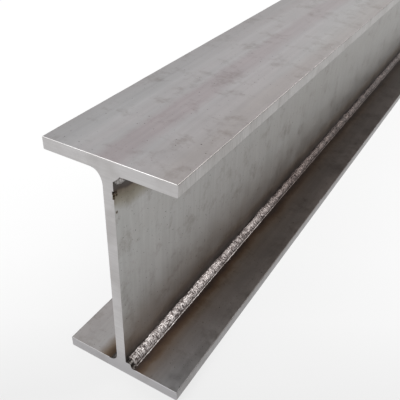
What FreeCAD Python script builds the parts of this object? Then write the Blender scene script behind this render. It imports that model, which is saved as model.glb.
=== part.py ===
import FreeCAD, Part
import math
import os

# Welded steel H-beam: two flange plates, a web plate between them, and a fillet weld in each corner.
# Units are millimetres. X runs across the flanges, Y along the beam and Z up.
# The origin is at the middle of the underside.

# Overall sizes.
beam_length = 3000.0
beam_depth = 288.0
flange_width = 150.0

# Plates.
flange_thickness = 14.0
web_thickness = 12.0
flange_edge_radius = 1.0

# Hollow-faced welds on the left of the web. They are cut flush with the ends of the beam.
top_hollow_flange_leg = 11.5
top_hollow_web_leg = 16.5
bottom_hollow_flange_leg = 10.0
bottom_hollow_web_leg = 12.0
hollow_facets = 6

# Small weld under the top flange, on the right. It stops short of both ends.
small_weld_flange_leg = 8.0
small_weld_web_leg = 9.5
small_weld_crown = 0.8
small_weld_end_gap = 1.5

# Main weld on the bottom flange, on the right: a root run over the full length, and a cap bead on it.
root_height = 6.3
root_shelf = 5.5
root_flange_leg = 10.0
cap_flange_leg = 11.5
cap_web_leg = 8.5
cap_crown = 2.6
cap_end_gap = 4.0

# Worked out from the sizes above.
web_height = beam_depth - 2 * flange_thickness
half_length = beam_length / 2
half_width = flange_width / 2
half_web = web_thickness / 2
top_flange_underside = beam_depth - flange_thickness


class Corner:
    """A corner between the web and a flange, from which a weld's section is measured.

    side is -1 on the left of the web and 1 on the right. up is 1 on the bottom flange and -1 under the
    top one. y is where the section lies. A point of it is so far out along the flange and so far along
    the web.
    """

    def __init__(self, side, up, end_gap):
        self.side = side
        self.up = up
        self.y = end_gap - half_length
        self.z = flange_thickness if up > 0 else top_flange_underside

    def point(self, along_flange, along_web):
        x = self.side * (half_web + along_flange)
        return FreeCAD.Vector(x, self.y, self.z + self.up * along_web)


def flange(bottom_z):
    """A flange plate with rounded long edges and square sawn ends."""
    corner = FreeCAD.Vector(-half_width, -half_length, bottom_z)
    plate = Part.makeBox(flange_width, beam_length, flange_thickness, corner)
    long_edges = [edge for edge in plate.Edges if edge.BoundBox.YLength > beam_length / 2]
    return plate.makeFillet(flange_edge_radius, long_edges)


def web():
    """The web plate, from flange to flange."""
    corner = FreeCAD.Vector(-half_web, -half_length, flange_thickness)
    return Part.makeBox(web_thickness, beam_length, web_height, corner)


def straight(start, end):
    return Part.LineSegment(start, end).toShape()


def hollow(start, end, corner):
    """Flat facets along a quarter of an ellipse from start to end, bowed in towards the corner."""
    points = []
    for step in range(hollow_facets + 1):
        angle = math.pi / 2 * step / hollow_facets
        to_start = (start - corner) * (1 - math.sin(angle))
        to_end = (end - corner) * (1 - math.cos(angle))
        points.append(corner + to_start + to_end)
    return [straight(points[step], points[step + 1]) for step in range(hollow_facets)]


def crowned(start, end, corner, crown):
    """An arc from start to end, standing out from the corner by the crown's height over the straight line."""
    middle = (start + end) / 2
    along = (end - start).normalize()
    outward = middle - corner
    outward = (outward - along * outward.dot(along)).normalize()
    return Part.Arc(start, middle + outward * crown, end).toShape()


def run_along_beam(edges, end_gap):
    """The solid that a section sweeps along the beam, from one end gap to the other."""
    section = Part.Face(Part.Wire(edges))
    return section.extrude(FreeCAD.Vector(0, beam_length - 2 * end_gap, 0))


def hollow_weld(side, up, flange_leg, web_leg):
    """A hollow-faced fillet weld that reaches both ends."""
    place = Corner(side, up, 0)
    root = place.point(0, 0)
    flange_toe = place.point(flange_leg, 0)
    web_toe = place.point(0, web_leg)
    edges = [straight(root, flange_toe), *hollow(flange_toe, web_toe, root), straight(web_toe, root)]
    return run_along_beam(edges, 0)


def crowned_weld(side, up, flange_leg, web_leg, crown, end_gap):
    """A full-faced fillet weld that stops short of both ends by the end gap."""
    place = Corner(side, up, end_gap)
    root = place.point(0, 0)
    flange_toe = place.point(flange_leg, 0)
    web_toe = place.point(0, web_leg)
    edges = [straight(root, flange_toe), crowned(flange_toe, web_toe, root, crown), straight(web_toe, root)]
    return run_along_beam(edges, end_gap)


def root_run(side, up):
    """The low run under the main weld's cap, with a shelf by the web and a hollow face out to its toe."""
    place = Corner(side, up, 0)
    root = place.point(0, 0)
    flange_toe = place.point(root_flange_leg, 0)
    shelf_edge = place.point(root_shelf, root_height)
    shelf_foot = place.point(root_shelf, 0)
    web_toe = place.point(0, root_height)
    edges = [
        straight(root, flange_toe),
        *hollow(flange_toe, shelf_edge, shelf_foot),
        straight(shelf_edge, web_toe),
        straight(web_toe, root),
    ]
    return run_along_beam(edges, 0)


def main_weld(side, up):
    """The root run with the cap bead fused onto it."""
    cap = crowned_weld(side, up, cap_flange_leg, cap_web_leg, cap_crown, cap_end_gap)
    return root_run(side, up).fuse(cap).removeSplitter().Solids[0]


def small_weld(side, up):
    """The small full-faced weld."""
    return crowned_weld(
        side, up, small_weld_flange_leg, small_weld_web_leg, small_weld_crown, small_weld_end_gap
    )


left, right = -1, 1
on_bottom_flange, under_top_flange = 1, -1

pieces = {
    "top_flange": flange(top_flange_underside),
    "web_plate": web(),
    "bottom_flange": flange(0),
    "weld_top_left": hollow_weld(left, under_top_flange, top_hollow_flange_leg, top_hollow_web_leg),
    "weld_top_right": small_weld(right, under_top_flange),
    "weld_bottom_left": hollow_weld(
        left, on_bottom_flange, bottom_hollow_flange_leg, bottom_hollow_web_leg
    ),
    "weld_bottom_right": main_weld(right, on_bottom_flange),
}

os.makedirs("parts", exist_ok=True)
for name, shape in pieces.items():
    shape.exportStep(f"parts/{name}.step")
    print(name, shape.isValid(), len(shape.Solids), round(shape.Volume))
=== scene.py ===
import math

import bpy
import numpy as np
from mathutils import Matrix, Vector


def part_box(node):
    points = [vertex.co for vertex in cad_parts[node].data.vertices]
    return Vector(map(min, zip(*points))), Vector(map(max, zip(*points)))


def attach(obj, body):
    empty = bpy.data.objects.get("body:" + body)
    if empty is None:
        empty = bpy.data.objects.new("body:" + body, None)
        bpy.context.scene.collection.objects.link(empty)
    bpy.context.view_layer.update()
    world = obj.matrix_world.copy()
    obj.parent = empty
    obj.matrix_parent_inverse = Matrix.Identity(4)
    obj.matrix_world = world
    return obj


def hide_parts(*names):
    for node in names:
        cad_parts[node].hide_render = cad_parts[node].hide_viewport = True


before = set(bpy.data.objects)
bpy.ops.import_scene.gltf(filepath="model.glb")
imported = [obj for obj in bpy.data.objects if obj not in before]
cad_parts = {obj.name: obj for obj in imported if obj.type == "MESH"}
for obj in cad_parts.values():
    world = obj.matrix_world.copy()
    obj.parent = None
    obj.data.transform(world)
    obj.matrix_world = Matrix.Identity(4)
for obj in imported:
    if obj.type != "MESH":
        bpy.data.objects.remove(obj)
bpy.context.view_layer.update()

# Places and sizes, in metres. X runs across the flanges, Y along the beam and Z up.
MM = 0.001
TINY = 0.01 * MM  # points nearer than this are in one place
bottom_low, bottom_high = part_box("bottom_flange")
top_low, top_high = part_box("top_flange")
web_low, web_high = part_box("web_plate")
near_end, far_end = web_low.y, web_high.y
beam_length = far_end - near_end
half_web = web_high.x
floor_of_channel = bottom_high.z
roof_of_channel = top_low.z

# Plate edges: the file's chamfer on the sawn ends, the rounding of the long edges, how unevenly that is
# worn, and the strip beside the web that the welds cover at each end.
END_CHAMFER = 0.36 * MM
LONG_EDGE_RADIUS = 1.0 * MM
EDGE_WEAR = 0.12 * MM
EDGE_WAVE = 18 * MM
WELD_STRIP = 12 * MM
FLANGE_CUTS = (99, 2)
WEB_CUTS = 59

# The torn, pitted stretch of the web's right edge below the small weld, in steps down from its top. It is
# this wide and this deep at each end of the beam, and has faded out by RAGGED_FADE.
RAGGED_TOP = roof_of_channel - 18.5 * MM
RAGGED_STEP = 1.0 * MM
RAGGED_STEPS = 10
RAGGED_WIDTH = 1.7 * MM
RAGGED_DEPTH = 3 * MM
RAGGED_FADE = 6 * MM

# Which side of the web a weld is on, and which flange it joins. Each is the direction away from the corner.
LEFT, RIGHT = -1, 1
ON_BOTTOM, UNDER_TOP = 1, -1


# ---------------------------------------------------------------- shaping tools

def start_clean():
    """Deselects everything, so that an operator acts only on what is added or chosen next."""
    bpy.ops.object.select_all(action="DESELECT")


def add_block(name, low, high):
    """A box primitive at its size and place, with its place in its mesh."""
    start_clean()
    bpy.ops.mesh.primitive_cube_add(size=1, location=(low + high) / 2, scale=high - low)
    bpy.ops.object.transform_apply(location=True, rotation=True, scale=True)
    block = bpy.context.object
    block.name = name
    return block


def add_bar(name, sides, length, middle):
    """A many-sided bar along the beam, closed at both ends."""
    start_clean()
    bpy.ops.mesh.primitive_cylinder_add(
        vertices=sides, radius=1, depth=length, location=middle, rotation=(math.pi / 2, 0, 0)
    )
    bpy.ops.object.transform_apply(location=True, rotation=True, scale=True)
    bar = bpy.context.object
    bar.name = name
    return bar


def choose_edges(piece, test):
    """Goes into edit mode on the piece with just the edges selected whose two ends pass the test."""
    start_clean()
    piece.select_set(True)
    bpy.context.view_layer.objects.active = piece
    bpy.ops.object.mode_set(mode="EDIT")
    bpy.ops.mesh.select_mode(type="EDGE")
    bpy.ops.mesh.select_all(action="DESELECT")
    bpy.ops.object.mode_set(mode="OBJECT")
    points = piece.data.vertices
    for edge in piece.data.edges:
        start, end = (points[index].co for index in edge.vertices)
        edge.select = test(start, end)
    bpy.ops.object.mode_set(mode="EDIT")


def choose_all(piece):
    """Goes into edit mode on the piece with all of it selected."""
    start_clean()
    piece.select_set(True)
    bpy.context.view_layer.objects.active = piece
    bpy.ops.object.mode_set(mode="EDIT")
    bpy.ops.mesh.select_all(action="SELECT")


def leave():
    """Leaves edit mode, which writes the edit to the mesh."""
    bpy.ops.object.mode_set(mode="OBJECT")


def along_beam(start, end):
    """True for an edge that runs along Y."""
    along = end - start
    return abs(along.y) > 10 * max(abs(along.x), abs(along.z))


def on_an_end(point):
    """True for a point on one of the beam's end faces."""
    return min(point.y - near_end, far_end - point.y) < TINY


def level(start, end, height):
    """True for an edge that lies at a height."""
    return abs(start.z - height) < TINY and abs(end.z - height) < TINY


def cut_along(piece, *cuts):
    """Divides the edges along the beam by each number of cuts in turn."""
    for number in cuts:
        choose_edges(piece, along_beam)
        bpy.ops.mesh.subdivide(number_cuts=number)
        leave()


def slice_at(piece, point, normal):
    """Cuts the piece's faces where a plane crosses them, and leaves it whole."""
    choose_all(piece)
    bpy.ops.mesh.bisect(plane_co=point, plane_no=normal)
    leave()


def coordinates(piece):
    """The places of the piece's points, as rows of X, Y and Z."""
    places = np.empty(len(piece.data.vertices) * 3)
    piece.data.vertices.foreach_get("co", places)
    return places.reshape(-1, 3)


def put_back(piece, places):
    """Moves the piece's points to the places."""
    piece.data.vertices.foreach_set("co", places.ravel())
    piece.data.update()


def wander(places, spacing, seed):
    """A smooth random value from -1 to 1 at each place along the beam, new at each spacing."""
    low = places.min() - spacing
    knots = np.random.default_rng(seed).uniform(-1, 1, int((places.max() - low) / spacing) + 4)
    steps = (places - low) / spacing
    index = steps.astype(int)
    share = steps - index
    share = share * share * (3 - 2 * share)
    return knots[index] * (1 - share) + knots[index + 1] * share


def mottle(across, along, size, seed):
    """A smooth random value from -1 to 1 over a surface, with lumps of about that size."""
    rows = (across - across.min()) / size
    columns = (along - along.min()) / size
    knots = np.random.default_rng(seed).uniform(-1, 1, (int(rows.max()) + 2, int(columns.max()) + 2))
    row, column = rows.astype(int), columns.astype(int)
    down, over = rows - row, columns - column
    down, over = (share * share * (3 - 2 * share) for share in (down, over))
    near = knots[row, column] * (1 - over) + knots[row, column + 1] * over
    far = knots[row + 1, column] * (1 - over) + knots[row + 1, column + 1] * over
    return near * (1 - down) + far * down


def smooth(piece, angle):
    """Shades the piece smooth, with its edges sharper than the angle kept sharp."""
    start_clean()
    piece.select_set(True)
    bpy.context.view_layer.objects.active = piece
    bpy.ops.object.shade_smooth_by_angle(angle=math.radians(angle))


# ---------------------------------------------------------------- plates

def break_long_edges(piece, width, segments):
    """Rounds the edges that run along the beam."""
    choose_edges(piece, along_beam)
    bpy.ops.mesh.bevel(offset=width, offset_type="OFFSET", segments=segments, profile=0.5)
    leave()


def dress_edges(piece, low, high, seed):
    """Wears the rounded long edges in by a small, changing amount, as a hand grinder does."""
    low, high = np.array(low), np.array(high)
    places = np.clip(coordinates(piece), low, high)
    middle = (low + high) / 2
    edge_zone = (high - low) / 2 - 1.6 * LONG_EDGE_RADIUS
    corner = (np.abs(places - middle) > edge_zone)[:, [0, 2]].all(1)
    for side in (LEFT, RIGHT):
        on_side = corner & ((places[:, 0] - middle[0]) * side > 0)
        for up in (-1, 1):
            here = on_side & ((places[:, 2] - middle[2]) * up > 0)
            seed += 1
            bite = EDGE_WEAR * (1 + wander(places[here, 1], EDGE_WAVE, seed)) / 2
            places[here, 0] -= side * bite
            places[here, 2] -= up * bite
    put_back(piece, places)


def flange(name, low, high, outer, seed):
    """A flange plate. outer is 1 if its outer face is the upper one, and -1 if it is the lower one."""
    plate = add_block(name, low, high)
    break_long_edges(plate, LONG_EDGE_RADIUS, 3)
    inner_z = low.z if outer > 0 else high.z
    weld_left, weld_right = -half_web - WELD_STRIP, half_web + WELD_STRIP
    for x in (weld_left, weld_right):
        slice_at(plate, (x, 0, 0), (1, 0, 0))

    def free_end_edge(start, end):
        """True for an edge round an end face, but not where a weld meets it or a slice crosses it."""
        if not (on_an_end(start) and on_an_end(end)):
            return False
        slice_line = abs(start.x - end.x) < TINY and weld_left - MM < start.x < weld_right + MM
        welded = level(start, end, inner_z) and weld_left < (start.x + end.x) / 2 < weld_right
        return not slice_line and not welded

    choose_edges(plate, free_end_edge)
    bpy.ops.mesh.bevel(offset=END_CHAMFER, offset_type="OFFSET", segments=1)
    leave()
    cut_along(plate, *FLANGE_CUTS)
    dress_edges(plate, low, high, seed)
    smooth(plate, 20)
    return plate


def web():
    """The web plate, with a ragged, pitted stretch of edge below the small weld at each end."""
    plate = add_block("web_plate_steel", web_low, web_high)
    cut_along(plate, WEB_CUTS)
    slice_at(plate, (half_web - RAGGED_WIDTH, 0, 0), (1, 0, 0))
    for end, inward in ((near_end, 1), (far_end, -1)):
        slice_at(plate, (0, end + inward * RAGGED_DEPTH, 0), (0, 1, 0))
        slice_at(plate, (0, end + inward * RAGGED_FADE, 0), (0, 1, 0))
    for step in range(RAGGED_STEPS):
        slice_at(plate, (0, 0, RAGGED_TOP - step * RAGGED_STEP), (0, 0, 1))
    places = coordinates(plate)
    steps_down = (RAGGED_TOP - places[:, 2]) / RAGGED_STEP
    ragged = (steps_down > 0.5) & (steps_down < RAGGED_STEPS - 1.5)
    on_face = ragged & (np.abs(places[:, 0] - half_web) < TINY)
    on_line = ragged & (np.abs(places[:, 0] - half_web + RAGGED_WIDTH) < TINY)
    for end, inward, seed in ((near_end, 1, 31), (far_end, -1, 32)):
        draw = np.random.default_rng(seed)
        from_end = np.abs(places[:, 1] - end)
        # Bites out of the corner itself, smaller ones behind it, and a wavering line round them on the end.
        corner = on_face & (from_end < TINY)
        bite = draw.uniform(0.2, 1.4, corner.sum()) * MM
        places[corner, 0] -= bite
        places[corner, 1] += inward * bite * 0.7
        behind = on_face & (np.abs(from_end - RAGGED_DEPTH) < TINY)
        places[behind, 0] -= draw.uniform(0, 0.7, behind.sum()) * MM
        inner = on_line & (from_end < TINY)
        places[inner, 0] += draw.uniform(-0.3, 1.0, inner.sum()) * MM / 2
    put_back(plate, places)
    return plate


# ---------------------------------------------------------------- welds

def full_face(flange_leg, web_leg, power, points):
    """A full weld face from the flange toe to the web toe, as distances from the corner.

    A power of 1 makes it a quarter of an ellipse, and a power of 2 makes it flat.
    """
    angle = np.linspace(0, np.pi / 2, points)
    return np.stack([flange_leg * np.cos(angle) ** power, web_leg * np.sin(angle) ** power], 1)


def hollow_face(flange_leg, web_leg, points):
    """Points over a hollow weld face: a quarter of an ellipse from the flange toe to the web toe."""
    angle = np.linspace(0, np.pi / 2, points)
    return np.stack([flange_leg * (1 - np.sin(angle)), web_leg * (1 - np.cos(angle))], 1)


def weld_run(name, side, up, face, end_gap, cuts, relief, nose=None):
    """A weld along the whole corner. face is its section without the corner itself.

    relief(share, along) gives how far the face stands out, as a broad and a fine part, from the share of
    the way from flange toe to web toe and the place along the beam. The fine part is kept for the material.
    nose(from_end) gives the shares of the full flange leg and of the full web leg at a distance from the
    run's own end.
    """
    sides = len(face) + 1
    bar = add_bar(name, sides, beam_length - 2 * end_gap, (0, 0, 0))
    cut_along(bar, *cuts)
    places = coordinates(bar)
    # The bar's first side is straight up, a quarter turn round, and becomes the flange toe.
    turn = np.arctan2(places[:, 2], places[:, 0]) / (2 * np.pi) - 0.25
    step = np.round(turn * sides).astype(int) % sides
    tangent = np.gradient(face, axis=0)
    outward = np.stack([tangent[:, 1], -tangent[:, 0]], 1)
    outward /= np.linalg.norm(outward, axis=1)[:, None]
    outward[0] = [1, 0]
    outward[-1] = [0, 1]
    section = np.vstack([face, [[0, 0]]])
    outward = np.vstack([outward, [[0, 0]]])
    share = np.append(np.linspace(0, 1, len(face)), 0)
    broad, fine = relief(share[step], places[:, 1])
    raised = (broad + fine) * (step < len(face))
    at = section[step] + outward[step] * raised[:, None]
    if nose:
        from_end = np.minimum(places[:, 1] - near_end, far_end - places[:, 1]) - end_gap
        at *= np.stack(nose(from_end), 1)
    at = np.maximum(at, 0)
    places[:, 0] = side * (half_web + at[:, 0])
    places[:, 2] = (floor_of_channel if up > 0 else roof_of_channel) + up * at[:, 1]
    put_back(bar, places)
    height = bar.data.attributes.new("relief", "FLOAT", "POINT")
    height.data.foreach_set("value", (fine / MM).astype(np.float32))
    choose_all(bar)
    bpy.ops.mesh.normals_make_consistent(inside=False)
    leave()
    smooth(bar, 60)
    return bar


def ripples(share, along, pitch, bow, height, seed):
    """Crescent ripples that trail behind at the middle of the face, each as high as height."""
    rise = 0.7
    across = 2 * share - 1
    drift = 0.6 * pitch * wander(along, 3 * pitch, seed)
    phase = (along + bow * across**2 + drift) / pitch
    part = phase - np.floor(phase)
    crest = np.where(part < rise, part / rise, (1 - part) / (1 - rise))
    strength = 0.6 + 0.4 * wander(along, 2.3 * pitch, seed + 1)
    return height * crest * strength * swell_over(share)


def swell_over(share):
    """0 at the face's two toes and 1 at its middle, so that the relief dies out at the toes."""
    return np.sin(np.pi * share) ** 0.5


def main_cap():
    """The bright cap bead: a rounded rippled crown, with a thin ridge of run-out metal at its lower toe."""
    width = 15 * MM
    end_gap = 4 * MM
    ridge = np.array([[11.5, 0.0], [11.3, 0.7], [10.8, 1.0], [10.4, 0.8], [10.1, 0.4]]) * MM
    crown = full_face(9.8 * MM, 8.8 * MM, 1.45, 15)
    face = np.vstack([ridge, crown])
    start = (len(ridge) - 0.5) / len(face)

    def relief(share, along):
        over = np.clip((share - start) / (1 - start), 0, 1)
        on_crown = share > start
        swell = swell_over(over)
        fine = ripples(over, along, pitch=5.2 * MM, bow=3.4 * MM, height=0.2 * MM, seed=40)
        fine += ripples(over, along, pitch=2.6 * MM, bow=2.8 * MM, height=0.34 * MM, seed=45)
        fine += mottle(over * width, along, size=1.8 * MM, seed=48) * 0.2 * MM * swell
        broad = mottle(over * width, along, size=12 * MM, seed=47) * 0.5 * MM * swell * on_crown
        broad += 0.35 * MM * wander(along, spacing=14 * MM, seed=43) * (share < 0.97)
        on_ridge = (share < start) & (share > 0.01)
        # The ridge is given a painted highlight as bright as the crests: its fine part, which sets the
        # colour, is high and its broad part takes that off.
        painted_ridge_highlight = 0.5 * MM * on_ridge
        broad += on_ridge * 0.3 * MM * wander(along, spacing=5 * MM, seed=44) - painted_ridge_highlight
        return broad, fine * on_crown + painted_ridge_highlight

    def nose(from_end):
        # The bead starts as a blunt lump, and sits lower on the web once the arc has settled.
        full = 0.55 + 0.45 * np.clip((from_end - 0.8 * MM) / (1.8 * MM), 0, 1)
        return full, full * (0.72 + 0.28 * np.exp(-from_end / (90 * MM)))

    return weld_run("weld_bottom_right_cap", RIGHT, ON_BOTTOM, face, end_gap, (99, 39), relief, nose)


def main_root():
    """The root run under the cap, which shows only where it reaches the ends."""
    shoulder = [[11.0, 0.0], [9.2, 0.35], [8.0, 1.0], [7.4, 2.4], [7.1, 4.2]]
    shelf = [[6.4, 5.9], [4.6, 6.5], [2.2, 6.4], [0, 6.3]]
    face = np.array(shoulder + shelf) * MM

    def relief(share, along):
        from_end = np.minimum(along - near_end, far_end - along)
        inside = np.clip(from_end / (2 * MM), 0, 1)
        lumps = mottle(share * 14 * MM, along, size=2.2 * MM, seed=49)
        return 0 * along, inside * lumps * 0.5 * MM

    def nose(from_end):
        # It sinks under the cap, clear of the cap's own face.
        full = 1 - 0.35 * np.clip(from_end / (9 * MM) - 0.4, 0, 1)
        return full, full

    return weld_run("weld_bottom_right_root", RIGHT, ON_BOTTOM, face, 0, (99, 14), relief, nose)


def small_weld():
    """The small weld under the top flange, thicker where it starts and stops near the ends."""
    face = full_face(8 * MM, 9 * MM, 1.2, 9)

    def relief(share, along):
        broad = mottle(share * 12 * MM, along, size=4 * MM, seed=61) * 0.5 * MM * swell_over(share)
        fine = ripples(share, along, pitch=3.6 * MM, bow=2.4 * MM, height=0.4 * MM, seed=60)
        return broad, fine

    def nose(from_end):
        start = 0.75 + 0.25 * np.clip(from_end / (2.5 * MM), 0, 1) ** 0.6
        full = start * (1 + 0.4 * np.clip(1.5 - from_end / (7 * MM), 0, 1))
        return full, full

    return weld_run("weld_top_right_bead", RIGHT, UNDER_TOP, face, 1.5 * MM, (99, 24), relief, nose)


def small_root():
    """The first run of the small weld, which is sawn flush with the ends."""
    face = full_face(8 * MM, 8 * MM, 1.8, 7)

    def relief(share, along):
        return 0 * along, 0 * along

    return weld_run("weld_top_right_root", RIGHT, UNDER_TOP, face, 0, (59,), relief)


def hollow_weld(name, up, flange_leg, web_leg, seed):
    """A smooth hollow weld on the left of the web, cut flush with the ends."""
    face = hollow_face(flange_leg, web_leg, 10)

    def relief(share, along):
        from_end = np.minimum(along - near_end, far_end - along)
        inside = np.clip(from_end / (3 * MM), 0, 1) * np.sin(np.pi * share)
        broad = mottle(share * 22 * MM, along, size=8 * MM, seed=seed + 5) * 0.4 * MM
        fine = ripples(share, along, pitch=3.6 * MM, bow=4.0 * MM, height=0.5 * MM, seed=seed)
        return broad * inside, fine * inside

    return weld_run(name, LEFT, up, face, 0, (99, 19), relief)


def top_left_run():
    """The hollow weld under the top flange, which reaches further down the web than along the flange."""
    return hollow_weld("weld_top_left_run", UNDER_TOP, flange_leg=11.5 * MM, web_leg=16.5 * MM, seed=70)


def bottom_left_run():
    """The hollow weld on the bottom flange, with legs nearly alike."""
    return hollow_weld("weld_bottom_left_run", ON_BOTTOM, flange_leg=10 * MM, web_leg=12 * MM, seed=80)


# ---------------------------------------------------------------- materials

def linear(colour):
    """A colour written as sRGB hex, as linear red, green, blue and alpha."""
    shares = [int(colour[start:start + 2], 16) / 255 for start in (1, 3, 5)]
    return [s / 12.92 if s <= 0.04045 else ((s + 0.055) / 1.055) ** 2.4 for s in shares] + [1.0]


def add_node(tree, kind, links=(), stops=(), **settings):
    """Adds a node with its settings. links is pairs of an input and the value or output that it takes."""
    made = tree.nodes.new(kind)
    for name, value in settings.items():
        setattr(made, name, value)
    for socket, value in links:
        if isinstance(value, bpy.types.NodeSocket):
            tree.links.new(value, made.inputs[socket])
        else:
            made.inputs[socket].default_value = value
    for number, (place, colour) in enumerate(stops):
        ramp = made.color_ramp.elements
        stop = ramp[number] if number < 2 else ramp.new(place)
        stop.position = place
        stop.color = linear(colour)
    return made


def new_material(name):
    """A node material with its shader and object coordinates, and its node tree."""
    material = bpy.data.materials.new(name)
    material.use_nodes = True
    tree = material.node_tree
    tree.nodes.clear()
    shader = add_node(tree, "ShaderNodeBsdfPrincipled")
    add_node(tree, "ShaderNodeOutputMaterial", [("Surface", shader.outputs[0])])
    place = add_node(tree, "ShaderNodeTexCoord").outputs["Object"]
    return material, tree, shader, place


def tinted(tree, colour, value, stops, strength=1.0):
    """The colour multiplied by a ramp over the value."""
    ramp = add_node(tree, "ShaderNodeValToRGB", [("Fac", value)], stops)
    made = add_node(
        tree, "ShaderNodeMix", [(0, strength), (6, colour), (7, ramp.outputs[0])],
        data_type="RGBA", blend_type="MULTIPLY",
    )
    return made.outputs[2]


def per_size(size):
    """The scale of a pattern that is as large as size along X, Y and Z."""
    return [1 / length for length in size]


# The heat bands' edges waver by this much, and a spread band is at its widest this far in from the ends.
WAVER = 18 * MM
SPREAD_LENGTH = 25 * MM


def band(tree, place, colour, across, start, side, limit, reach, stops, spread=0.0):
    """A heat band beside a weld.

    The distance is measured in the direction across, from start. The band is only where the place in the
    direction side is past the limit. stops run from 0 at the corner to 1 at the reach. spread is how much
    wider the band is a little way in from the beam's ends.
    """
    along = add_node(tree, "ShaderNodeVectorMath", [(0, place), (1, across)], operation="DOT_PRODUCT")
    waver = add_node(
        tree, "ShaderNodeTexNoise",
        [("Vector", place), ("Scale", 1 / (45 * MM)), ("Detail", 5.0), ("Roughness", 0.6)],
    )
    shift = add_node(
        tree, "ShaderNodeMath", [(0, waver.outputs[0]), (1, WAVER), (2, -WAVER / 2 - start)],
        operation="MULTIPLY_ADD",
    )
    away = add_node(
        tree, "ShaderNodeMath", [(0, along.outputs["Value"]), (1, shift.outputs[0])], operation="ADD"
    )
    split = add_node(tree, "ShaderNodeSeparateXYZ", [("Vector", place)])
    from_middle = add_node(tree, "ShaderNodeMath", [(0, split.outputs["Y"])], operation="ABSOLUTE")
    wider = add_node(
        tree, "ShaderNodeMapRange",
        [("Value", from_middle.outputs[0]), ("From Min", far_end), ("From Max", far_end - SPREAD_LENGTH),
         ("To Max", spread)],
    )
    narrowed = add_node(
        tree, "ShaderNodeMath", [(0, away.outputs[0]), (1, wider.outputs[0])], operation="SUBTRACT"
    )
    share = add_node(tree, "ShaderNodeMapRange", [("Value", narrowed.outputs[0]), ("From Max", reach)])
    facing = add_node(tree, "ShaderNodeVectorMath", [(0, place), (1, side)], operation="DOT_PRODUCT")
    here = add_node(
        tree, "ShaderNodeMath", [(0, facing.outputs["Value"]), (1, limit)], operation="GREATER_THAN"
    )
    return tinted(tree, colour, share.outputs[0], stops, here.outputs[0])


# The rose blush runs far along the plate, as the rollers spread it.
BLUSH_SIZE = (45 * MM, 800 * MM, 45 * MM)


def rolled_plate(name, grain, dark, light, blush, bands, spots=()):
    """Hot rolled plate with its thin mill finish.

    Fine streaks along the grain and soft clouds make it grey and satin. Faint rose patches, dark smudges
    and specks are what the mill and handling leave. Each of bands is what the band function takes after the
    colour: the brown and sooty tints of the welding heat. The spots are single dark pits, each a place and a
    radius. A real mill grain is about 0.5 mm wide, too fine to show, so it is drawn ten times as coarse.
    """
    material, tree, shader, place = new_material(name)
    stretched = add_node(tree, "ShaderNodeMapping", [("Vector", place), ("Scale", per_size(grain))])
    streaks = add_node(
        tree, "ShaderNodeTexNoise",
        [("Vector", stretched.outputs[0]), ("Scale", 1.0), ("Detail", 6.0), ("Roughness", 0.6)],
    )
    clouds = add_node(
        tree, "ShaderNodeTexNoise",
        [("Vector", place), ("Scale", 1 / (40 * MM)), ("Detail", 6.0), ("Roughness", 0.7)],
    )
    both = add_node(
        tree, "ShaderNodeMix", [(0, 0.5), (2, streaks.outputs[0]), (3, clouds.outputs[0])],
        data_type="FLOAT",
    )
    tone = add_node(tree, "ShaderNodeValToRGB", [("Fac", both.outputs[0])], [(0.3, dark), (0.7, light)])
    colour = tone.outputs[0]
    long_place = add_node(tree, "ShaderNodeMapping", [("Vector", place), ("Scale", per_size(BLUSH_SIZE))])
    broad = add_node(
        tree, "ShaderNodeTexNoise", [("Vector", long_place.outputs[0]), ("Scale", 1.0), ("Detail", 3.0)]
    )
    colour = tinted(tree, colour, broad.outputs[0], [(0.4, "#ffffff"), (0.6, blush)])
    smudge = add_node(
        tree, "ShaderNodeTexNoise",
        [("Vector", place), ("Scale", 1 / (30 * MM)), ("Detail", 7.0), ("Roughness", 0.7)],
    )
    colour = tinted(tree, colour, smudge.outputs[0], [(0.32, "#e2dfdc"), (0.47, "#ffffff")])
    specks = add_node(
        tree, "ShaderNodeTexNoise", [("Vector", place), ("Scale", 1 / (2.4 * MM)), ("Detail", 1.0)]
    )
    colour = tinted(tree, colour, specks.outputs[0], [(0.21, "#8a8480"), (0.28, "#ffffff")])
    for settings in bands:
        colour = band(tree, place, colour, *settings)
    pit_stops = [(0.35, "#6f6255"), (0.6, "#c4bab0"), (1.0, "#ffffff")]
    for middle, radius in spots:
        near = add_node(tree, "ShaderNodeVectorMath", [(0, place), (1, middle)], operation="DISTANCE")
        part = add_node(
            tree, "ShaderNodeMapRange", [("Value", near.outputs["Value"]), ("From Max", 2 * radius)]
        )
        colour = tinted(tree, colour, part.outputs[0], pit_stops)
    tree.links.new(colour, shader.inputs["Base Color"])
    shader.inputs["Metallic"].default_value = 1.0
    rough = add_node(
        tree, "ShaderNodeMapRange",
        [("Value", clouds.outputs[0]), ("From Min", 0.3), ("From Max", 0.7),
         ("To Min", 0.32), ("To Max", 0.44)],
    )
    tree.links.new(rough.outputs[0], shader.inputs["Roughness"])
    orange_peel = add_node(
        tree, "ShaderNodeTexNoise", [("Vector", place), ("Scale", 1 / (2 * MM)), ("Detail", 4.0)]
    )
    bump = add_node(
        tree, "ShaderNodeBump",
        [("Height", orange_peel.outputs[0]), ("Strength", 0.25), ("Distance", 0.2 * MM)],
    )
    tree.links.new(bump.outputs[0], shader.inputs["Normal"])
    return material


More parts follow.
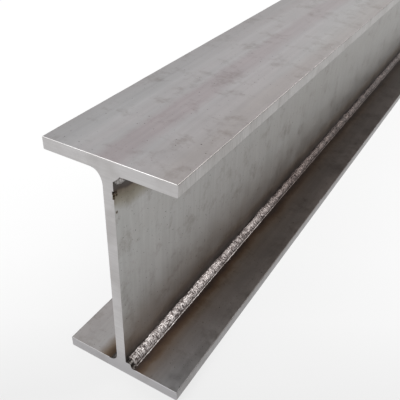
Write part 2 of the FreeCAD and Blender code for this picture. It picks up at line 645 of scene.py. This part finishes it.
def cut_steel(name, grain, dark, light, relief):
    """Steel as a saw or shear leaves it: paler and more even than the rolled face, with parallel marks.

    The marks are really under 1 mm apart, too fine to show, so they are drawn 2 mm apart. The lowest 50 mm
    is a little darker: painted shade.
    """
    material, tree, shader, place = new_material(name)
    stretched = add_node(tree, "ShaderNodeMapping", [("Vector", place), ("Scale", per_size(grain))])
    marks = add_node(
        tree, "ShaderNodeTexNoise",
        [("Vector", stretched.outputs[0]), ("Scale", 1.0), ("Detail", 4.0), ("Roughness", 0.6)],
    )
    tone = add_node(tree, "ShaderNodeValToRGB", [("Fac", marks.outputs[0])], [(0.3, dark), (0.7, light)])
    patches = add_node(
        tree, "ShaderNodeTexNoise", [("Vector", place), ("Scale", 1 / (33 * MM)), ("Detail", 4.0)]
    )
    colour = tinted(tree, tone.outputs[0], patches.outputs[0], [(0.35, "#f1f0ef"), (0.55, "#ffffff")])
    split = add_node(tree, "ShaderNodeSeparateXYZ", [("Vector", place)])
    # Painted shade: the lowest 50 mm is darker.
    colour = tinted(tree, colour, split.outputs["Z"], [(8 * MM, "#e6e6e8"), (50 * MM, "#ffffff")])
    tree.links.new(colour, shader.inputs["Base Color"])
    shader.inputs["Metallic"].default_value = 1.0
    shader.inputs["Roughness"].default_value = 0.45
    bump = add_node(
        tree, "ShaderNodeBump",
        [("Height", marks.outputs[0]), ("Strength", relief), ("Distance", 0.15 * MM)],
    )
    tree.links.new(bump.outputs[0], shader.inputs["Normal"])
    return material


# The wrinkles and oxide patches are drawn out along the bead, as the arc leaves them. Real ones are about
# 0.7 mm across, too fine to show, so they are drawn three times as coarse.
WRINKLE = (2.2 * MM, 6.5 * MM, 2.2 * MM)
OXIDE_PATCH = (2.2 * MM, 7 * MM, 2.2 * MM)


def weld_metal(name, dark, light, roughness, crinkle, dull_from, dull_at, dull):
    """Weld metal: bright on its crests, dark with slag and oxide in its hollows, duller away from the ends.

    crinkle is how deep the wrinkled skin is. The metal starts to dull at dull_from from the beam's ends,
    and at dull_at it is multiplied by the whole of dull.
    """
    unevenness = 300 * MM
    material, tree, shader, place = new_material(name)
    long_place = add_node(tree, "ShaderNodeMapping", [("Vector", place), ("Scale", per_size(OXIDE_PATCH))])
    patches = add_node(
        tree, "ShaderNodeTexNoise",
        [("Vector", long_place.outputs[0]), ("Scale", 1.0), ("Detail", 3.0), ("Roughness", 0.65)],
    )
    height = add_node(tree, "ShaderNodeAttribute", attribute_name="relief")
    crest = add_node(
        tree, "ShaderNodeMapRange",
        [("Value", height.outputs["Fac"]), ("From Min", -0.1), ("From Max", 0.6)],
    )
    both = add_node(
        tree, "ShaderNodeMix", [(0, 0.6), (2, patches.outputs[0]), (3, crest.outputs[0])],
        data_type="FLOAT",
    )
    tone = add_node(tree, "ShaderNodeValToRGB", [("Fac", both.outputs[0])], [(0.28, dark), (0.62, light)])
    split = add_node(tree, "ShaderNodeSeparateXYZ", [("Vector", place)])
    along = add_node(tree, "ShaderNodeMath", [(0, split.outputs["Y"])], operation="ABSOLUTE")
    uneven = add_node(
        tree, "ShaderNodeTexNoise", [("Vector", place), ("Scale", 1 / (110 * MM)), ("Detail", 3.0)]
    )
    moved = add_node(
        tree, "ShaderNodeMath", [(0, uneven.outputs[0]), (1, unevenness), (2, along.outputs[0])],
        operation="MULTIPLY_ADD",
    )
    moved_end = far_end + unevenness / 2
    share = add_node(
        tree, "ShaderNodeMapRange",
        [("Value", moved.outputs[0]), ("From Min", moved_end - dull_at),
         ("From Max", moved_end - dull_from)],
    )
    colour = tinted(tree, tone.outputs[0], share.outputs[0], [(0.0, dull), (1.0, "#ffffff")])
    shader.inputs["Metallic"].default_value = 1.0
    shader.inputs["Roughness"].default_value = roughness
    bent = add_node(
        tree, "ShaderNodeTexNoise", [("Vector", place), ("Scale", 1 / (4 * MM)), ("Detail", 2.0)]
    )
    pushed = add_node(
        tree, "ShaderNodeVectorMath", [(0, bent.outputs["Color"]), (1, [2.5 * MM] * 3), (2, place)],
        operation="MULTIPLY_ADD",
    )
    drawn_out = add_node(
        tree, "ShaderNodeMapping", [("Vector", pushed.outputs[0]), ("Scale", per_size(WRINKLE))]
    )
    wrinkles = add_node(
        tree, "ShaderNodeTexVoronoi", [("Vector", drawn_out.outputs[0]), ("Scale", 1.0)],
        feature="DISTANCE_TO_EDGE",
    )
    colour = tinted(tree, colour, wrinkles.outputs["Distance"], [(0.0, "#9d9591"), (0.13, "#ffffff")])
    tree.links.new(colour, shader.inputs["Base Color"])
    bump = add_node(
        tree, "ShaderNodeBump",
        [("Height", wrinkles.outputs["Distance"]), ("Strength", 1.0), ("Distance", crinkle)],
    )
    tree.links.new(bump.outputs[0], shader.inputs["Normal"])
    return material


def wear(piece, *materials):
    """Gives the piece its materials, in the order of its faces' material numbers."""
    for material in materials:
        piece.data.materials.append(material)


# ---------------------------------------------------------------- the beam

def heat_tint(reach, *pairs):
    """A heat tint's reach and ramp stops, from distances in millimetres and colours.

    It has no tint on the corner's other side.
    """
    start = [(0.0, "#ffffff"), (0.5 / reach, pairs[0][1])]
    return reach * MM, start + [(distance / reach, colour) for distance, colour in pairs]


# The heat tints beside the welds, by distance from the corner: soot at the toe, then brown, then straw.
# Every tint multiplies the plate's own colour.
flange_tint = heat_tint(
    50, (8, "#938e89"), (12, "#857b78"), (14.5, "#897971"), (18, "#a28d7c"), (21, "#b9a591"),
    (25, "#d6cabd"), (34, "#e0dddb"), (50, "#f5f8fb"),
)
# On the web, the darkening from 60 mm up to 130 mm, which holds above that, is painted shade; the tints
# nearer the corner are heat.
web_heat_tint_and_shade = heat_tint(
    130, (8, "#8d8582"), (11, "#978e8a"), (14, "#bdb3ad"), (17, "#c6bbb3"), (21, "#dacdc2"),
    (25, "#f2e8dd"), (30, "#fef9f3"), (42, "#ffffff"), (60, "#fffefd"), (90, "#f5f4f3"), (130, "#efeeed"),
)
top_tint = heat_tint(
    40, (8, "#8a8580"), (12, "#6f6866"), (17.5, "#6a5d54"), (19.5, "#a09282"), (24, "#b3aa98"),
    (30, "#d3cdbf"), (40, "#ffffff"),
)
left_tint = heat_tint(
    28, (4, "#6f5f50"), (10, "#7d6b5a"), (13, "#9b8875"), (17, "#c0b09e"), (28, "#ffffff")
)

# The top plate's tone from its left edge to its right one: duller edges, and rosy over the web.
over_web = (top_high.x - top_low.x, [
    (0.0, "#eceaea"), (0.12, "#eeecec"), (0.25, "#fdfcfc"), (0.38, "#ffffff"), (0.44, "#f4edee"),
    (0.56, "#f5eeef"), (0.65, "#ffffff"), (0.8, "#fbfaf9"), (0.9, "#f3f0ed"), (1.0, "#f2efec"),
])

# How much darker each plate is away from its near end, each with the length over which it fades. On the top
# plate and the web this is part dirt and part painted shade; on the bottom flange right of the web it is
# painted shade.
# Part dirt, part painted shade: the top plate and the web darken away from the near end.
top_dirt_and_shade_away = (0.8, [(0.0, "#ffffff"), (0.35, "#fdfcfc"), (1.0, "#f1eeec")])
web_dirt_and_shade_away = (0.5, [(0.0, "#ffffff"), (0.1, "#fbfafa"), (0.4, "#eceae9"), (1.0, "#e3e1df")])
# Painted shade: the bottom flange right of the web darkens away from the near end.
flange_painted_shade_away = (
    0.5, [(0.0, "#ffffff"), (0.1, "#e3dfdc"), (0.25, "#b8b1ab"), (0.5, "#a29a93"), (1.0, "#9b928b")]
)

# Directions, the side and limit that keep a band to one face, and the mill grain's size on each plate.
right, left, upward, downward = (1, 0, 0), (-1, 0, 0), (0, 0, 1), (0, 0, -1)
toward_middle = (0, 1, 0)
on_floor = (upward, floor_of_channel - MM)
under_roof = (downward, -roof_of_channel - MM)
on_top = (upward, top_high.z - MM)
right_of_web, on_right_face, on_left_face = (right, half_web), (right, 0), (left, 0)
lengthwise, upright = (6 * MM, 250 * MM, 6 * MM), (5 * MM, 5 * MM, 80 * MM)
small_weld_spread = 8 * MM

# Rust pits in the web near its end, each by its distance from the end, height and radius in millimetres.
PITS = [
    (3, 231, 1.1), (1, 253, 1.2), (1.2, 250, 1.1), (0.6, 247.5, 0.9), (4, 252.5, 1.1), (4.5, 249.5, 0.9),
]
pits = [((half_web, near_end + inset * MM, height * MM), radius * MM) for inset, height, radius in PITS]

# Hot rolled steel plate, lying flat: a smooth grey mill finish, a little rosy, with a soft satin gloss.
top_steel = rolled_plate("hot_rolled_plate_top", lengthwise, "#a8a8a9", "#b9b9ba", "#faf5f5", [
    (right, half_web, *under_roof, *top_tint),
    (left, half_web, *under_roof, *left_tint),
    (right, top_low.x, *on_top, *over_web),
    (toward_middle, near_end, *on_top, *top_dirt_and_shade_away),
])

# Hot rolled steel plate on the bottom flange: the same finish, with a darker base colour that is painted
# shade under the top flange, and sooty heat tints beside the welds.
# The darker base colour here is painted shade.
shaded_bottom_steel = rolled_plate("hot_rolled_plate_bottom_shaded", lengthwise, "#9b9897", "#b0adac", "#fbf8f8", [
    (right, half_web, *on_floor, *flange_tint),
    (toward_middle, near_end, *right_of_web, *flange_painted_shade_away),
    (left, half_web, *on_floor, *left_tint),
])

# Hot rolled steel plate with its grain upright: neutral grey, faint upright streaks and a few rust pits.
web_steel = rolled_plate("hot_rolled_plate_web", upright, "#a2a3a1", "#b8b8b8", "#fdfcfb", [
    (upward, floor_of_channel, *on_right_face, *web_heat_tint_and_shade),
    (toward_middle, near_end, *on_right_face, *web_dirt_and_shade_away),
    (downward, -roof_of_channel, *on_right_face, *top_tint, small_weld_spread),
    (upward, floor_of_channel, *on_left_face, *left_tint),
    (downward, -roof_of_channel, *on_left_face, *left_tint),
], pits)

# Mild steel fresh from the band saw: pale and even, with faint level marks, so the ends stand out as light.
end_steel = cut_steel("band_sawn_steel_end", (50 * MM, 1, 2 * MM), "#bebcbc", "#c8c6c6", 0.08)

# Mild steel from the shear: grey and matt, with short upright marks that break up the long edges.
edge_steel = cut_steel("sheared_plate_edge", (17 * MM, 2 * MM, 17 * MM), "#9c9a98", "#afacab", 0.3)

# The same sheared edge on its downward faces, painted darker as shade, so each plate's lower edge reads as a
# line.
shaded_lower_edge_steel = cut_steel(
    "painted_shade_lower_plate_edge", (17 * MM, 2 * MM, 17 * MM), "#6f6c6a", "#86827f", 0.3
)

# Arc-welded steel, wire brushed: a bright silver wrinkled skin with brown oxide between its crests.
bright_weld = weld_metal(
    "bright_weld_cap", "#544c4a", "#dad4d2", 0.3, 0.45 * MM, 100 * MM, 450 * MM, "#a69d9a"
)

# Arc-welded steel as the arc leaves it: dark brown-grey oxide with a dull shine on its high spots.
dull_weld = weld_metal(
    "oxidised_weld_metal", "#433e3b", "#a09c99", 0.42, 0.2 * MM, 200 * MM, 600 * MM, "#c4bdb8"
)

# Arc-welded steel dressed with a light grinder: pale grey and soft, with almost no oxide.
grey_weld = weld_metal(
    "light_grey_weld_end", "#8d8a88", "#cdcbca", 0.5, 0.15 * MM, 200 * MM, 600 * MM, "#c4bdb8"
)

# The numbers of a piece's materials after 0, its body steel. Long edges lie past EDGE_ZONE from the middle.
END, EDGE, SHADED_LOWER_EDGE = 1, 2, 3
EDGE_ZONE = half_web + 30 * MM


def finish_plate(piece, body_steel):
    """Dresses the broad faces, the sawn ends and the cut long edges, with painted shade on the long edges'
    downward faces.
    """
    wear(piece, body_steel, end_steel, edge_steel, shaded_lower_edge_steel)
    ragged_bottom = RAGGED_TOP - RAGGED_STEPS * RAGGED_STEP
    for face in piece.data.polygons:
        middle, normal = face.center, face.normal
        in_pitted_strip = half_web - RAGGED_WIDTH < middle.x < half_web + MM
        pitted = in_pitted_strip and ragged_bottom < middle.z < RAGGED_TOP
        near_long_edge = abs(middle.x) > EDGE_ZONE
        if abs(normal.y) > 0.5 and not pitted:
            face.material_index = END
        # Downward faces of the long edges take the darker copy of the edge steel: painted shade.
        elif near_long_edge and -0.97 < normal.z < -0.2:
            face.material_index = SHADED_LOWER_EDGE
        elif near_long_edge and abs(normal.x) > 0.5:
            face.material_index = EDGE


def finish_weld(piece, body_steel):
    """Dresses the run, and its ends where they are sawn flush with the beam."""
    wear(piece, body_steel, end_steel)
    for face in piece.data.polygons:
        if abs(face.normal.y) > 0.9 and on_an_end(face.center):
            face.material_index = END


plates = [
    (flange("top_flange_steel", top_low, top_high, 1, 10), "top_flange", top_steel),
    (flange("bottom_flange_steel", bottom_low, bottom_high, -1, 20), "bottom_flange", shaded_bottom_steel),
    (web(), "web_plate", web_steel),
]
for piece, cad_node, steel in plates:
    finish_plate(piece, steel)
    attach(piece, "root")
    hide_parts(cad_node)

welds = [
    (main_cap(), "weld_bottom_right", bright_weld),
    (main_root(), "weld_bottom_right", dull_weld),
    (small_weld(), "weld_top_right", grey_weld),
    (small_root(), "weld_top_right", dull_weld),
    (top_left_run(), "weld_top_left", dull_weld),
    (bottom_left_run(), "weld_bottom_left", dull_weld),
]
for piece, cad_node, steel in welds:
    finish_weld(piece, steel)
    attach(piece, "root")
    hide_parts(cad_node)


# ---------------------------------------------------------------- studio

# The floor glows a little more along one direction, from the near end on.
FLOOR_GLOW = [
    (0.0, "#d8d8d8"), (0.04, "#dddddd"), (0.09, "#e3e3e3"), (0.19, "#e7e7e7"), (0.36, "#e9e9e9"),
    (1.0, "#ebebeb"),
]
GLOW_DIRECTION = (-0.6, 1, 0)
GLOW_START, GLOW_END = near_end - 0.04, near_end + 1.46
FLOOR_SIZE = 40
FLOOR_GAP = 0.1 * MM


def add_floor():
    """A pale floor that glows a little, so that the shadows on it stay faint.

    The glow grows slowly away from the camera's corner of the floor.
    """
    material, tree, shader, place = new_material("pale_studio_floor")
    along = add_node(
        tree, "ShaderNodeVectorMath", [(0, place), (1, GLOW_DIRECTION)], operation="DOT_PRODUCT"
    )
    share = add_node(
        tree, "ShaderNodeMapRange",
        [("Value", along.outputs["Value"]), ("From Min", GLOW_START), ("From Max", GLOW_END)],
    )
    glow = add_node(tree, "ShaderNodeValToRGB", [("Fac", share.outputs[0])], FLOOR_GLOW)
    tree.links.new(glow.outputs[0], shader.inputs["Emission Color"])
    shader.inputs["Emission Strength"].default_value = 1.0
    shader.inputs["Base Color"].default_value = linear("#6e6e6e")
    shader.inputs["Roughness"].default_value = 1.0
    shader.inputs["Specular IOR Level"].default_value = 0.0
    start_clean()
    bpy.ops.mesh.primitive_plane_add(size=FLOOR_SIZE, location=(0, 0, -FLOOR_GAP))
    floor = bpy.context.object
    floor.name = "studio_floor"
    floor.data.materials.append(material)


SOFTBOX_AIM = Vector((0, near_end + 0.3, 0.15))
SOFTBOX_DISTANCE = 3.0
SOFTBOX_SIZE = 1.6


def add_softbox(name, direction, power):
    """A square soft light in a direction from the near end, facing it."""
    light = bpy.data.lights.new(name, "AREA")
    light.energy = power
    light.size = SOFTBOX_SIZE
    lamp = bpy.data.objects.new(name, light)
    lamp.location = SOFTBOX_AIM + Vector(direction).normalized() * SOFTBOX_DISTANCE
    lamp.rotation_mode = "QUATERNION"
    lamp.rotation_quaternion = Vector(direction).to_track_quat("Z", "Y")
    bpy.context.scene.collection.objects.link(lamp)


# Angles are in degrees, and the lens is in millimetres for a 36 mm wide frame.
CAMERA_PLACE = Vector((0.2833, near_end - 0.3276, 0.5479))
CAMERA_AZIMUTH, CAMERA_ELEVATION, CAMERA_ROLL = 29.74, 35.23, 1.95
CAMERA_LENS = 51.3


def add_camera():
    """A hand-held view down on the near end, from its right."""
    azimuth, elevation = math.radians(CAMERA_AZIMUTH), math.radians(CAMERA_ELEVATION)
    level_back = Vector((math.sin(azimuth), -math.cos(azimuth), 0))
    back = level_back * math.cos(elevation) + Vector((0, 0, math.sin(elevation)))
    camera = bpy.data.objects.new("camera", bpy.data.cameras.new("camera"))
    camera.data.lens = CAMERA_LENS
    camera.location = CAMERA_PLACE
    camera.rotation_mode = "QUATERNION"
    roll = Matrix.Rotation(math.radians(CAMERA_ROLL), 3, "Z").to_quaternion()
    camera.rotation_quaternion = (-back).to_track_quat("-Z", "Y") @ roll
    camera.data.clip_start, camera.data.clip_end = 0.01, 100
    bpy.context.scene.collection.objects.link(camera)
    bpy.context.scene.camera = camera


def add_world():
    """Even white light from all round, as in a light tent."""
    world = bpy.data.worlds.new("studio")
    world.use_nodes = True
    background = world.node_tree.nodes["Background"]
    background.inputs["Color"].default_value = linear("#ffffff")
    background.inputs["Strength"].default_value = 0.85
    bpy.context.scene.world = world
    bpy.context.scene.view_settings.view_transform = "Standard"


# The key light glints on the sawn ends' chamfers, and the back light on the cap bead.
add_world()
add_floor()
add_softbox("key_softbox", (-0.4, -0.58, 0.71), 32)
add_softbox("back_softbox", (0.28, 0.66, 0.7), 28)
add_camera()
